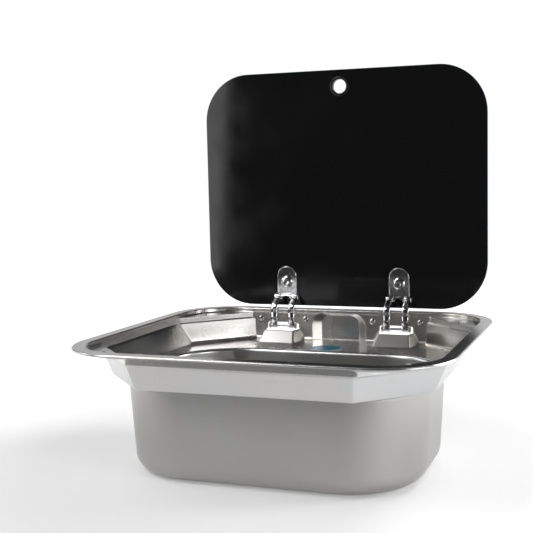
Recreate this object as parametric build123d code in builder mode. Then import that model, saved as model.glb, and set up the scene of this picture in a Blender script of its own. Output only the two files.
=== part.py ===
"""Recessed steel sink with a hinged black glass lid. All sizes are in millimetres.

X runs to the right, Y to the back and Z up. The origin is the middle of the waste hole in the bowl's
floor. The lid is drawn open, standing upright behind the rim.
"""
import os

from build123d import *

os.makedirs("parts", exist_ok=True)

# ---- pressed sink: flange and lid recess ----
sheet = 0.8
rim_width = 420.0
rim_depth = 370.0
rim_height = 145.0
rim_corner = 75.0
rim_bevel = 1.0            # on the flange's outer and inner top edge
skin_bevel = 2 - 2**0.5    # how much a bevel grows for each millimetre that its skin lies further out
flange_width = 15.0
lip_drop = 2.5             # how far the flange's edge is turned down
ledge_drop = 6.0           # from the flange down to the corner ledges
ledge_bevel = 1.2

# ---- pressed sink: eight-sided stage, deck and bowl ----
step_drop = 12.0           # from the flange down to the narrow slanted step
step_size = 2.0            # width and height of that step
deck_drop = 41.0           # from the flange down to the deck
side_draft = 12.0          # how far the side walls lean in from the step to the deck
front_draft = 9.5
front_corner_draft = 9.3
rear_corner_draft = 1.2
stage_cut = 73.5           # leg of the 45 degree corner cuts
stage_corner = 7.0
step_lap = 0.3             # overlap of the two hollows that meet in the step
deck_fillet = 5.0
bowl_side_margin = 10.5    # deck left beside the bowl
bowl_front_margin = 17.25
bowl_rear_margin = 76.75
bowl_corner = 86.0
bowl_draft = 3.6           # degrees
bowl_rim_fillet = 4.0
bowl_floor_fillet = 19.0

# ---- tap niche, tap hole and waste hole ----
niche_width = 74.0
niche_height = 36.5
niche_depth = 8.5
niche_slope = 11.0         # how much narrower the back of the niche is on each side
niche_corner = 17.0
niche_mouth = 6.0          # how far the hollow reaches in front of the rear wall
tap_hole_diameter = 35.0
tap_hole_margin = 4.25     # deck left between the bowl and the tap hole
cover_overlap = 2.25       # how far the cover disc reaches over the hole's edge
cover_thick = 0.5
waste_hole_diameter = 50.0

# ---- hinge pockets in the rear wall ----
hinge_x = 78.0
pocket_drop = 26.8         # from the flange down to the flat top of a pocket
pocket_reach = 17.5        # front of that top, measured from the rear wall
pocket_foot = 30.5         # foot of the pocket on the deck, measured the same way
pocket_top_half = 20.5
pocket_foot_half = 24.5
pocket_flare = 0.2         # widening for each millimetre towards the wall
pocket_fillet = 2.5
pocket_border = 1.5        # steel left in front of the opening
opening_gap = 2.1          # from the pivot pin's end to the edge of the opening in the wall
opening_top_drop = 18.4    # from the flange down to the top of that opening
opening_corner = 3.0

# ---- glass lid ----
lid_thick = 4.0
lid_corner = 62.0
lid_edge = 0.6
lid_side_gap = 2.3         # between the closed lid and the recess
lid_front_gap = 3.0
lid_rear_space = 24.5      # from the closed lid's rear edge to the rear wall
lid_lift = 2.0             # from the flange up to the open lid's lower edge
lid_setback = 20.0         # from the rear wall back to the open lid's inner face
bumper_gap = 0.3           # between the bumpers and the closed lid
finger_hole_diameter = 22.0
finger_hole_margin = 21.7  # from the lid's free edge to the middle of the hole
grommet_bore = 18.4
grommet_diameter = 26.0
grommet_flange = 1.2

# ---- hinge arms, pins and brackets ----
running_gap = 0.05         # radial clearance of the arms on the pivot pin
arm_width = 9.5
arm_thick = 2.8
arm_offset = 12.25         # middle of an arm from the middle of its hinge
arm_wall_gap = 0.6
arm_bend_height = 4.5      # bend of the arm above the flange
arm_bend_radius = 9.0
arm_edge = 0.8
hub_radius = 3.8
pivot_radius = 1.8
pivot_head_radius = 3.0
pivot_head = 1.0
knuckle_setback = 15.4     # from the rear wall back to the knuckle pin
knuckle_height = 12.5      # from the open lid's lower edge up to that pin
knuckle_radius = 3.7
eye_edge = 0.8
knuckle_pin_radius = 1.75
knuckle_pin_end = 0.5      # how far a pin stands out of its arm
knuckle_pin_start = 5.8    # inner end of a pin, from the middle of the hinge
arch_radius = 6.0          # arch between the ears
arch_bar = 2.3             # steel between the arch and the plate's foot
barrel_gap = 0.3           # between the plate's barrel and the arms
cheek_gap = 0.4            # between the arms and the bracket's cheeks
cheek_thick = 1.5
cheek_margin = 2.0         # steel behind the hubs
cheek_step = 0.7           # from the top of the opening down to the cheek's front
bracket_thick = 1.5
bracket_end = 4.8          # from a rivet to the bracket's end
bracket_height = 10.5
bracket_lift = 0.6         # bracket's foot above the opening in the wall
bracket_corner = 3.0
rivet_x = 31.7             # from the middle of the hinge
rivet_lift = 4.1           # from the bracket's foot
rivet_radius = 2.05
rivet_head_radius = 4.0
rivet_head = 1.4
rivet_tail_radius = 2.8
rivet_tail = 1.3
rivet_bore = 1.1
rivet_bore_depth = 3.0

# ---- clamps on the glass ----
plate_half = 13.8
plate_thick = 2.0
plate_lift = 4.1           # plate's foot above the knuckle pin
plate_length = 36.9
plate_edge = 0.5
gasket_thick = 0.8
gasket_margin = 1.0
screw_lift = 15.9          # clamp screw above the plate's foot
screw_radius = 3.0
screw_hole_radius = 3.2
glass_hole_radius = 4.0
screw_head_radius = 8.0
screw_head = 2.8
socket_radius = 2.9
socket_depth = 1.6
cap_radius = 13.0
cap_thick = 3.2
cap_thread_depth = 2.2

# ---- lid bumpers on the corner ledges ----
bumper_radius = 3.0
bumper_height = 2.7
bumper_rear_x = 22.5       # from the side of the recess
bumper_rear_y = 44.5       # from the rear wall
bumper_front_x = 29.0
bumper_front_y = 33.0      # from the recess's front

# ---- heights and places worked out from the sizes above ----
rim_z = rim_height
ledge_z = rim_z - ledge_drop
step_z = rim_z - step_drop
deck_z = rim_z - deck_drop
pocket_z = rim_z - pocket_drop
opening_top_z = rim_z - opening_top_drop
recess_half = rim_width / 2 - flange_width
recess_length = rim_depth - 2 * flange_width
bowl_width = 2 * (recess_half - step_size - side_draft - bowl_side_margin)
bowl_length = recess_length - step_size - front_draft - bowl_front_margin - bowl_rear_margin
wall_y = bowl_length / 2 + bowl_rear_margin
front_y = wall_y - recess_length
rim_middle_y = (wall_y + front_y) / 2
recess_corner = rim_corner - flange_width
tap_hole_y = bowl_length / 2 + tap_hole_margin + tap_hole_diameter / 2
lid_face_y = wall_y + lid_setback
lid_foot_z = rim_z + lid_lift
closed_face_z = ledge_z + bumper_height + bumper_gap
closed_back_y = wall_y - lid_rear_space
lid_width = 2 * (recess_half - lid_side_gap)
lid_length = closed_back_y - front_y - lid_front_gap
finger_z = lid_foot_z + lid_length - finger_hole_margin
# one turn of 90 degrees about the pivot takes the open lid to its closed place
pivot_y = (lid_foot_z + closed_back_y + lid_face_y - closed_face_z) / 2
pivot_z = (lid_foot_z + closed_back_y - lid_face_y + closed_face_z) / 2
arm_y = wall_y - arm_wall_gap - arm_thick / 2
arm_bend_z = rim_z + arm_bend_height
knuckle_y = wall_y + knuckle_setback
knuckle_z = lid_foot_z + knuckle_height
barrel_half = arm_offset - arm_width / 2 - barrel_gap
cheek_inner = arm_offset + arm_width / 2 + cheek_gap
cheek_outer = cheek_inner + cheek_thick
opening_half = cheek_outer + pivot_head + opening_gap
bracket_y = wall_y + sheet
bracket_half = rivet_x + bracket_end
bracket_foot_z = opening_top_z + bracket_lift
bracket_top_z = bracket_foot_z + bracket_height
rivet_z = bracket_foot_z + rivet_lift
plate_y = lid_face_y - gasket_thick - plate_thick
plate_foot_z = knuckle_z + plate_lift
shoulder_z = plate_foot_z + plate_length - plate_half
arch_top_z = plate_foot_z - arch_bar
screw_z = plate_foot_z + screw_lift
cap_y = lid_face_y + lid_thick + gasket_thick
bumpers = {
    "rear": (recess_half - bumper_rear_x, wall_y - bumper_rear_y),
    "front": (recess_half - bumper_front_x, front_y + bumper_front_y),
}
sides = {"left": -hinge_x, "right": hinge_x}
# each upright wall above the step: its direction in plan, its distance, and its draft below the step
front_corner = (recess_half - front_y - stage_cut) / 2**0.5
rear_corner = (recess_half + wall_y - stage_cut) / 2**0.5
stage_walls = (
    (0, recess_half, side_draft),
    (180, recess_half, side_draft),
    (-90, -front_y, front_draft),
    (-45, front_corner, front_corner_draft),
    (-135, front_corner, front_corner_draft),
    (45, rear_corner, rear_corner_draft),
    (135, rear_corner, rear_corner_draft),
)


def save(piece, name):
    """Label a finished piece and write it to its own file."""
    piece.label = name
    export_step(piece, f"parts/{name}.step")


# ---- the sink: one pressing, made as an outside skin less an inside hollow ----
def block(foot, top):
    """Plain block over the whole recess and beyond it, for the walls' planes to cut."""
    with BuildPart() as piece:
        with BuildSketch(Plane.XY.offset(foot)):
            with Locations((0, rim_middle_y)):
                Rectangle(2 * rim_width, 2 * rim_depth)
        extrude(amount=top - foot)
    return piece.part


def stage(grow):
    """Eight-sided hollow with upright walls, from the ledges down to the slanted step."""
    foot = step_z - step_size - step_lap - grow
    with BuildPart() as hollow:
        add(block(foot, ledge_z + 1))
        for turn, reach, _ in stage_walls:
            wall = Plane.YZ.rotated((0, 0, turn)).offset(reach + grow)
            split(bisect_by=wall, keep=Keep.BOTTOM)
        corners = hollow.edges().filter_by(Axis.Z).sort_by(Axis.Y)[:-2]
        fillet(corners, 1.2 * stage_corner + grow)
        rim = hollow.faces().sort_by(Axis.Z)[0].edges().sort_by(Axis.Y)[:-1]
        chamfer(rim, step_size + step_lap + skin_bevel * grow)
    return hollow.part


def funnel(grow):
    """Leaning walls from the slanted step down to the deck."""
    rise = step_z - step_size - deck_z
    with BuildPart() as hollow:
        add(block(deck_z - grow, step_z - 0.4 * step_size - grow))
        for turn, reach, draft in stage_walls:
            level = Plane.YZ.rotated((0, 0, turn)).offset(reach - step_size)
            start = level.origin + Vector(0, 0, step_z - step_size)
            outward = level.z_dir * rise - Vector(0, 0, draft)
            split(bisect_by=Plane(origin=start, z_dir=outward).offset(grow), keep=Keep.BOTTOM)
        corners = hollow.edges().group_by(Axis.Z)[1].sort_by(Axis.Y)[:-2]
        fillet(corners, stage_corner + grow)
    return hollow.part


def upper_hollow(grow):
    """Both hollows above the deck, closed at the back by the upright rear wall."""
    with BuildPart() as hollow:
        add(stage(grow))
        add(funnel(grow))
        split(bisect_by=Plane.XZ.offset(-wall_y - grow), keep=Keep.TOP)
        fillet(hollow.faces().sort_by(Axis.Z)[0].edges(), deck_fillet + grow)
    return hollow.part


def niche(grow):
    """Hollow behind the rear wall that takes the folded tap."""
    mouth = (wall_y - niche_mouth, niche_width / 2, niche_height, niche_corner)
    wall = (wall_y, niche_width / 2, niche_height, niche_corner)
    back_half = niche_width / 2 - niche_slope
    back = (wall_y + niche_depth + grow, back_half, niche_height - niche_slope / 3, niche_corner * 0.7)
    with BuildPart() as hollow:
        for near, far in ((mouth, wall), (wall, back)):
            for y, half, height, corner in (near, far):
                with BuildSketch(Plane.XZ.offset(-y)) as outline:
                    with Locations((0, deck_z - grow + (height + 2 * grow) / 2)):
                        Rectangle(2 * (half + grow), height + 2 * grow)
                    fillet(outline.vertices().group_by(Axis.Y)[-1], corner + grow)
            loft(ruled=True)
    return hollow.part


def pocket(shrink):
    """Wedge in front of the rear wall that covers one hinge, shrunk by the sheet for its hidden side."""
    rise = pocket_z - deck_z
    with BuildPart() as wedge:
        for height in (deck_z - rise, pocket_z - shrink):
            share = (pocket_z - height) / rise
            reach = pocket_reach + (pocket_foot - pocket_reach) * share - shrink
            near = pocket_top_half + (pocket_foot_half - pocket_top_half) * share - shrink
            far = near + pocket_flare * (reach + 2 * pocket_reach)
            with BuildSketch(Plane.XY.offset(height)):
                with BuildLine():
                    Polyline(
                        (-near, wall_y - reach),
                        (near, wall_y - reach),
                        (far, wall_y + 2 * pocket_reach),
                        (-far, wall_y + 2 * pocket_reach),
                        close=True,
                    )
                make_face()
        loft(ruled=True)
        leaning = wedge.faces().sort_by(Axis.Y)[0].edges().filter_by(Axis.X, reverse=True)
        top = wedge.faces().sort_by(Axis.Z)[-1].edges().sort_by(Axis.Y)[:-1]
        fillet(leaning + top, pocket_fillet - shrink)
    return wedge.part


def pressing(grow):
    """Everything inside the sink as one solid. Grown by the sheet, it gives the outside skin."""
    with BuildPart() as body:
        with BuildSketch(Plane.XY.offset(ledge_z - grow)):
            with Locations((0, rim_middle_y)):
                RectangleRounded(
                    2 * (recess_half + grow), recess_length + 2 * grow, recess_corner + grow
                )
        extrude(amount=ledge_drop + grow)
        corners = body.faces().sort_by(Axis.Z)[0].edges()
        chamfer(corners, ledge_bevel + skin_bevel * grow)
        add(upper_hollow(grow))
        with BuildSketch(Plane.XY.offset(deck_z - grow)):
            RectangleRounded(bowl_width + 2 * grow, bowl_length + 2 * grow, bowl_corner + grow)
        extrude(amount=deck_z - sheet, dir=(0, 0, -1), taper=bowl_draft)
        fillet(body.faces().sort_by(Axis.Z)[0].edges(), bowl_floor_fillet + grow)
        flats = body.faces().filter_by(Axis.Z)
        deck = flats.filter_by(lambda face: abs(face.center().Z - deck_z + grow) < 0.1)[0]
        brim = deck.inner_wires()[0].edges()
        if grow:
            chamfer(brim, skin_bevel * (bowl_rim_fillet - grow))
        else:
            fillet(brim, bowl_rim_fillet)
        add(niche(grow))
        for x in sides.values():
            add(pocket(grow).moved(Location((x, 0, 0))), mode=Mode.SUBTRACT)
    return body.part


with BuildPart() as sink_body:
    # flange with its edge turned down
    with BuildSketch(Plane.XY.offset(rim_z - lip_drop)):
        with Locations((0, rim_middle_y)):
            RectangleRounded(rim_width, rim_depth, rim_corner)
    extrude(amount=lip_drop)
    chamfer(sink_body.faces().sort_by(Axis.Z)[-1].edges(), rim_bevel)
    with BuildSketch(Plane.XY.offset(rim_z - lip_drop)):
        with Locations((0, rim_middle_y)):
            RectangleRounded(rim_width - 2 * sheet, rim_depth - 2 * sheet, rim_corner - sheet)
    extrude(amount=lip_drop - sheet, mode=Mode.SUBTRACT)
    # the pressing, with the bend from the flange into the recess bevelled on both faces
    add(pressing(sheet))
    add(pressing(0), mode=Mode.SUBTRACT)
    flats = sink_body.faces().filter_by(Axis.Z)
    under = flats.filter_by(lambda face: abs(face.center().Z - rim_z + sheet) < 0.1)[0]
    chamfer(under.inner_wires()[0].edges(), rim_bevel + skin_bevel * sheet)
    over = sink_body.faces().filter_by(Axis.Z).sort_by(Axis.Z)[-1]
    chamfer(over.inner_wires()[0].edges(), rim_bevel)
    # tap hole and waste hole
    with Locations((0, tap_hole_y, deck_z)):
        Hole(tap_hole_diameter / 2, depth=2 * sheet)
    with Locations((0, 0, 2 * sheet)):
        Hole(waste_hole_diameter / 2, depth=3 * sheet)
    # openings for the hinge arms and holes for the rivets
    for x in sides.values():
        near = pocket_top_half - pocket_border
        far = near + pocket_flare * (pocket_reach + sheet)
        with BuildSketch(Plane.XY.offset(pocket_z - 2 * sheet)):
            with BuildLine():
                Polyline(
                    (x - near, wall_y - pocket_reach + pocket_border),
                    (x + near, wall_y - pocket_reach + pocket_border),
                    (x + far, wall_y + sheet),
                    (x - far, wall_y + sheet),
                    close=True,
                )
            make_face()
        extrude(amount=3 * sheet, mode=Mode.SUBTRACT)
        with BuildSketch(Plane.XZ.offset(-wall_y)) as window:
            with Locations((x, (opening_top_z + pocket_z) / 2 - sheet)):
                Rectangle(2 * opening_half, opening_top_z - pocket_z + 2 * sheet)
            fillet(window.vertices().group_by(Axis.Y)[-1], opening_corner)
        extrude(amount=-sheet, mode=Mode.SUBTRACT)
        with BuildSketch(Plane.XZ.offset(-wall_y)):
            with Locations((x - rivet_x, rivet_z), (x + rivet_x, rivet_z)):
                Circle(rivet_radius)
        extrude(amount=-sheet, mode=Mode.SUBTRACT)
save(sink_body.part, "sink_body")

with BuildPart() as cover:
    with BuildSketch(Plane.XY.offset(deck_z)):
        with Locations((0, tap_hole_y)):
            Circle(tap_hole_diameter / 2 + cover_overlap)
    extrude(amount=cover_thick)
save(cover.part, "tap_hole_cover")

# ---- bumpers that the closed lid rests on ----
for end, (x, y) in bumpers.items():
    for side, sign in (("left", -1), ("right", 1)):
        with BuildPart() as bumper:
            with BuildSketch(Plane.XY.offset(ledge_z)):
                with Locations((sign * x, y)):
                    Circle(bumper_radius)
            extrude(amount=bumper_height)
        save(bumper.part, f"bumper_{end}_{side}")

# ---- hollow rivets through the rear wall and the brackets ----
with BuildPart() as rivets:
    tail_y = bracket_y + bracket_thick
    for x in sides.values():
        for along in (x - rivet_x, x + rivet_x):
            with BuildSketch(Plane.YZ.offset(along)):
                with BuildLine():
                    Polyline(
                        (wall_y - rivet_head, rivet_z + rivet_bore),
                        (wall_y - rivet_head, rivet_z + 0.6 * rivet_head_radius),
                        (wall_y, rivet_z + rivet_head_radius),
                        (wall_y, rivet_z + rivet_radius),
                        (tail_y, rivet_z + rivet_radius),
                        (tail_y, rivet_z + rivet_tail_radius),
                        (tail_y + rivet_tail, rivet_z + rivet_tail_radius),
                        (tail_y + rivet_tail, rivet_z),
                        (wall_y - rivet_head + rivet_bore_depth, rivet_z),
                        (wall_y - rivet_head + rivet_bore_depth, rivet_z + rivet_bore),
                        close=True,
                    )
                make_face()
            revolve(axis=Axis((along, 0, rivet_z), (0, 1, 0)))
save(rivets.part, "hinge_rivets")


def boss(start, y, z, radius, width, edge=0):
    """Round boss or pin along X, from start, with its ends bevelled where an edge is given."""
    with BuildPart() as piece:
        with BuildSketch(Plane.YZ.offset(start)):
            with Locations((y, z)):
                Circle(radius)
        extrude(amount=width)
        if edge:
            chamfer(piece.edges().filter_by(GeomType.CIRCLE), edge)
    return piece.part


# ---- hinges ----
arm_places = {
    "left": (("outer", -hinge_x - arm_offset), ("inner", -hinge_x + arm_offset)),
    "right": (("inner", hinge_x - arm_offset), ("outer", hinge_x + arm_offset)),
}
for side, x in sides.items():
    with BuildPart() as bracket:
        with BuildSketch(Plane.XZ.offset(-bracket_y)) as outline:
            with Locations((x, (bracket_foot_z + bracket_top_z) / 2)):
                Rectangle(2 * bracket_half, bracket_top_z - bracket_foot_z)
            fillet(outline.vertices(), bracket_corner)
        extrude(amount=-bracket_thick)
        for cheek_x in (x - cheek_outer, x + cheek_inner):
            with BuildSketch(Plane.YZ.offset(cheek_x)):
                with BuildLine():
                    Polyline(
                        (pivot_y - hub_radius, pivot_z - hub_radius),
                        (pivot_y - hub_radius, opening_top_z - cheek_step),
                        (bracket_y, opening_top_z - cheek_step),
                        (bracket_y, bracket_top_z),
                        (pivot_y + hub_radius + cheek_margin, bracket_top_z),
                        (pivot_y + hub_radius + cheek_margin, pivot_z - hub_radius),
                        close=True,
                    )
                make_face()
            extrude(amount=cheek_thick)
        with BuildSketch(Plane.YZ.offset(x - cheek_outer)):
            with Locations((pivot_y, pivot_z)):
                Circle(pivot_radius)
        extrude(amount=2 * cheek_outer, mode=Mode.SUBTRACT)
        with BuildSketch(Plane.XZ.offset(-bracket_y)):
            with Locations((x - rivet_x, rivet_z), (x + rivet_x, rivet_z)):
                Circle(rivet_radius)
        extrude(amount=-bracket_thick, mode=Mode.SUBTRACT)
    save(bracket.part, f"hinge_bracket_{side}")

    with BuildPart() as pin:
        for start in (x - cheek_outer - pivot_head, x + cheek_outer):
            add(boss(start, pivot_y, pivot_z, pivot_head_radius, pivot_head))
        with BuildSketch(Plane.YZ.offset(x - cheek_outer)):
            with Locations((pivot_y, pivot_z)):
                Circle(pivot_radius)
        extrude(amount=2 * cheek_outer)
    save(pin.part, f"pivot_pin_{side}")

    for name, arm_x in arm_places[side]:
        start = arm_x - arm_width / 2
        hub = boss(start, pivot_y, pivot_z, hub_radius, arm_width)
        eye = boss(start, knuckle_y, knuckle_z, knuckle_radius, arm_width, eye_edge)
        with BuildPart() as arm:
            with BuildSketch(Plane.YZ.offset(start)):
                with BuildLine():
                    FilletPolyline(
                        (arm_y, pivot_z - hub_radius / 2),
                        (arm_y, arm_bend_z),
                        (knuckle_y, knuckle_z),
                        radius=arm_bend_radius,
                    )
                trace(line_width=arm_thick)
            extrude(amount=arm_width)
            rims = arm.faces().filter_by(Axis.X).edges()
            chamfer(rims.filter_by(lambda edge: edge.length > 1.5 * arm_thick), arm_edge)
            add(hub)
            add(eye)
            with BuildSketch(Plane.YZ.offset(start)):
                with Locations((pivot_y, pivot_z)):
                    Circle(pivot_radius + running_gap)
                with Locations((knuckle_y, knuckle_z)):
                    Circle(knuckle_pin_radius)
            extrude(amount=arm_width, mode=Mode.SUBTRACT)
        save(arm.part, f"arm_{side}_{name}")

    # short pins, one through the eye of each arm into the ear beside it
    reach = arm_offset + arm_width / 2 + knuckle_pin_end
    with BuildPart() as knuckle_pins:
        for start in (x - reach, x + knuckle_pin_start):
            width = reach - knuckle_pin_start
            add(boss(start, knuckle_y, knuckle_z, knuckle_pin_radius, width))
    save(knuckle_pins.part, f"knuckle_pins_{side}")

    # clamp plate, with two ears at its foot under an arch
    with BuildPart() as plate:
        with BuildSketch(Plane.XZ.offset(-plate_y)):
            with BuildLine():
                Polyline(
                    (x - plate_half, shoulder_z),
                    (x - plate_half, plate_foot_z),
                    (x + plate_half, plate_foot_z),
                    (x + plate_half, shoulder_z),
                )
                ThreePointArc((x - plate_half, shoulder_z), (x, shoulder_z + plate_half), (x + plate_half, shoulder_z))
            make_face()
        extrude(amount=-plate_thick)
        front = plate.faces().filter_by(Axis.Y).sort_by(Axis.Y)[0]
        rim = front.edges().filter_by(lambda edge: edge.center().Z > plate_foot_z + 1)
        chamfer(rim, plate_edge)
        with BuildSketch(Plane.YZ.offset(x - barrel_half)):
            with Locations((knuckle_y, knuckle_z)):
                Circle(knuckle_radius)
            with Locations((plate_y + plate_thick / 2, (knuckle_z + plate_foot_z + 1) / 2)):
                Rectangle(plate_thick, plate_foot_z + 1 - knuckle_z)
        extrude(amount=2 * barrel_half)
        with BuildSketch(Plane.YZ.offset(x - barrel_half)):
            with Locations((knuckle_y, knuckle_z)):
                Circle(knuckle_pin_radius)
        extrude(amount=2 * barrel_half, mode=Mode.SUBTRACT)
        with BuildSketch(Plane.XZ.offset(-knuckle_y + 2 * knuckle_radius)):
            with Locations((x, arch_top_z - arch_radius)):
                Circle(arch_radius)
            with Locations((x, arch_top_z - 2 * arch_radius)):
                Rectangle(2 * arch_radius, 2 * arch_radius)
        extrude(amount=-4 * knuckle_radius, mode=Mode.SUBTRACT)
        with BuildSketch(Plane.XZ.offset(-plate_y)):
            with Locations((x, screw_z)):
                Circle(screw_hole_radius)
        extrude(amount=-plate_thick, mode=Mode.SUBTRACT)
    save(plate.part, f"clamp_plate_{side}")

    with BuildPart() as inner_gasket:
        with BuildSketch(Plane.XZ.offset(-plate_y - plate_thick)):
            with BuildLine():
                half = plate_half - gasket_margin
                foot = plate_foot_z + gasket_margin
                Polyline((x - half, shoulder_z), (x - half, foot), (x + half, foot), (x + half, shoulder_z))
                ThreePointArc((x - half, shoulder_z), (x, shoulder_z + half), (x + half, shoulder_z))
            make_face()
            with Locations((x, screw_z)):
                Circle(screw_hole_radius, mode=Mode.SUBTRACT)
        extrude(amount=-gasket_thick)
    save(inner_gasket.part, f"inner_gasket_{side}")

    with BuildPart() as screw:
        with BuildSketch(Plane.XZ.offset(-plate_y)):
            with Locations((x, screw_z)):
                Circle(screw_head_radius)
        extrude(amount=screw_head)
        chamfer(screw.faces().sort_by(Axis.Y)[0].edges(), screw_head / 2)
        with BuildSketch(Plane.XZ.offset(-plate_y + screw_head)):
            with Locations((x, screw_z)):
                RegularPolygon(socket_radius, 6)
        extrude(amount=-socket_depth, mode=Mode.SUBTRACT)
        with BuildSketch(Plane.XZ.offset(-plate_y)):
            with Locations((x, screw_z)):
                Circle(screw_radius)
        extrude(amount=-(cap_y + cap_thread_depth - plate_y))
    save(screw.part, f"clamp_screw_{side}")

    with BuildPart() as outer_gasket:
        with BuildSketch(Plane.XZ.offset(-lid_face_y - lid_thick)):
            with Locations((x, screw_z)):
                Circle(cap_radius - gasket_margin)
                Circle(screw_hole_radius, mode=Mode.SUBTRACT)
        extrude(amount=-gasket_thick)
    save(outer_gasket.part, f"outer_gasket_{side}")

    with BuildPart() as cap:
        with BuildSketch(Plane.XZ.offset(-cap_y)):
            with Locations((x, screw_z)):
                Circle(cap_radius)
        extrude(amount=-cap_thick)
        chamfer(cap.faces().sort_by(Axis.Y)[-1].edges(), cap_thick / 2)
        with BuildSketch(Plane.XZ.offset(-cap_y)):
            with Locations((x, screw_z)):
                Circle(screw_radius)
        extrude(amount=-cap_thread_depth, mode=Mode.SUBTRACT)
    save(cap.part, f"outer_cap_{side}")

# ---- the glass and the ring in its finger hole ----
with BuildPart() as lid_glass:
    with BuildSketch(Plane.XZ.offset(-lid_face_y)):
        with Locations((0, lid_foot_z + lid_length / 2)):
            RectangleRounded(lid_width, lid_length, lid_corner)
        with Locations((0, finger_z)):
            Circle(finger_hole_diameter / 2, mode=Mode.SUBTRACT)
        with Locations(*[(x, screw_z) for x in sides.values()]):
            Circle(glass_hole_radius, mode=Mode.SUBTRACT)
    extrude(amount=-lid_thick)
    faces = lid_glass.faces().filter_by(Axis.Y)
    chamfer([edge for face in faces for edge in face.outer_wire().edges()], lid_edge)
save(lid_glass.part, "lid_glass")

with BuildPart() as grommet:
    back_y = lid_face_y + lid_thick
    with BuildSketch(Plane.YZ):
        with BuildLine():
            Polyline(
                (lid_face_y - grommet_flange, finger_z + grommet_bore / 2),
                (lid_face_y - grommet_flange, finger_z + grommet_diameter / 2 - grommet_flange),
                (lid_face_y, finger_z + grommet_diameter / 2),
                (lid_face_y, finger_z + finger_hole_diameter / 2),
                (back_y, finger_z + finger_hole_diameter / 2),
                (back_y, finger_z + grommet_diameter / 2),
                (back_y + grommet_flange, finger_z + grommet_diameter / 2 - grommet_flange),
                (back_y + grommet_flange, finger_z + grommet_bore / 2),
                close=True,
            )
        make_face()
    revolve(axis=Axis((0, 0, finger_z), (0, 1, 0)))
save(grommet.part, "finger_grommet")
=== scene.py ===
"""Looks, camera and light for a recessed steel sink with a hinged black glass lid.

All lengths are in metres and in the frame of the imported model: X right, Y back, Z up, with the origin in
the middle of the waste hole. Sizes of the small pieces are written in millimetres and scaled once.
"""
import logging
import math
from collections.abc import Callable, Sequence
from dataclasses import dataclass, field
from enum import Enum

import bpy
from mathutils import Matrix, Vector

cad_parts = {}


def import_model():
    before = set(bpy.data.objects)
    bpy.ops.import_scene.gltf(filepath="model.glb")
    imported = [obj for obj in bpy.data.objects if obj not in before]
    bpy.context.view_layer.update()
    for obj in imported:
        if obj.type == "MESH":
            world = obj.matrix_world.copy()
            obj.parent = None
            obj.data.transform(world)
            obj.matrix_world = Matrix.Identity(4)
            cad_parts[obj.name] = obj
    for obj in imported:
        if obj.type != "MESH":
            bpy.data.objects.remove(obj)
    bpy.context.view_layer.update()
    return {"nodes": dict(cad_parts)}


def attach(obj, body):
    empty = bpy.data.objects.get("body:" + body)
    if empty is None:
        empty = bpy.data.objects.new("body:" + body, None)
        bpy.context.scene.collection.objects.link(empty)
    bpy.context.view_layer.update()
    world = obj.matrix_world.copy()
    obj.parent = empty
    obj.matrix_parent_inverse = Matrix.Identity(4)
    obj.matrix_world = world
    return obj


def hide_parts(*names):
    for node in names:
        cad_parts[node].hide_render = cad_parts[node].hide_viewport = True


LOG = logging.getLogger("sink")
MM = 0.001
CORE = 0.05  # millimetres from a lathe's axis to the middle of its end faces
SHARP_ANGLE = math.radians(50)
WHOLE_TURN = 2 * math.pi
MIX_SHARE, MIX_COLOURS, MIX_RESULT = 0, (6, 7), 2  # places of the Mix node's colour sockets

Colour = tuple[float, float, float]
Point = tuple[float, float, float]
Span = tuple[float, float]
Socket = bpy.types.NodeSocket
Placer = Callable[[float, float, float], Point]

EVEN: Point = (1.0, 1.0, 1.0)
FULL: Span = (0.0, 1.0)
FALLING: Span = (1.0, 0.0)
MIDDLE: Span = (0.35, 0.65)  # where most of a noise pattern's values lie


def rgba(colour: Colour) -> tuple[float, float, float, float]:
    """Add a full alpha to a colour."""
    return (*colour, 1.0)


def steps_between(start: float, end: float, count: int) -> list[float]:
    """List evenly spaced values from start to end, both included."""
    return [start + (end - start) * step / count for step in range(count + 1)]


class Body(Enum):
    """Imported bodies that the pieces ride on."""

    SINK = "sink"
    LID = "lid"


class Side(Enum):
    """The two hinges, by the place of their middle along X in millimetres."""

    LEFT = -78.0
    RIGHT = 78.0

    @property
    def label(self) -> str:
        """Name as the nodes have it."""
        return self.name.lower()

    @property
    def sign(self) -> int:
        """Direction along X from the middle of the sink."""
        return -1 if self is Side.LEFT else 1


# ---- shader graphs ----
class NodeKind(Enum):
    """Shader nodes that the finishes use."""

    PRINCIPLED = "ShaderNodeBsdfPrincipled"
    OUTPUT = "ShaderNodeOutputMaterial"
    COORDINATES = "ShaderNodeTexCoord"
    MAPPING = "ShaderNodeMapping"
    NOISE = "ShaderNodeTexNoise"
    BUMP = "ShaderNodeBump"
    BEVEL = "ShaderNodeBevel"
    MIX = "ShaderNodeMix"
    RANGE = "ShaderNodeMapRange"
    MATH = "ShaderNodeMath"
    VECTOR_MATH = "ShaderNodeVectorMath"
    SEPARATE = "ShaderNodeSeparateXYZ"
    EMISSION = "ShaderNodeEmission"
    ADD = "ShaderNodeAddShader"
    LIGHT_PATH = "ShaderNodeLightPath"
    DIFFUSE = "ShaderNodeBsdfDiffuse"
    BACKGROUND = "ShaderNodeBackground"
    WORLD_OUTPUT = "ShaderNodeOutputWorld"


class Space(Enum):
    """Coordinates that a pattern is read in."""

    OBJECT = "Object"
    NORMAL = "Normal"
    DIRECTION = "Generated"


class Axis(Enum):
    """Part of a point or a direction."""

    Y = "Y"
    Z = "Z"


@dataclass(frozen=True)
class Noise:
    """One noise pattern in the object's own coordinates.

    The scale counts spots for each metre, the detail counts octaves of finer noise, and the stretch says
    how much each axis is packed together.
    """

    scale: float
    detail: float = 2.0
    stretch: Point = EVEN


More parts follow.
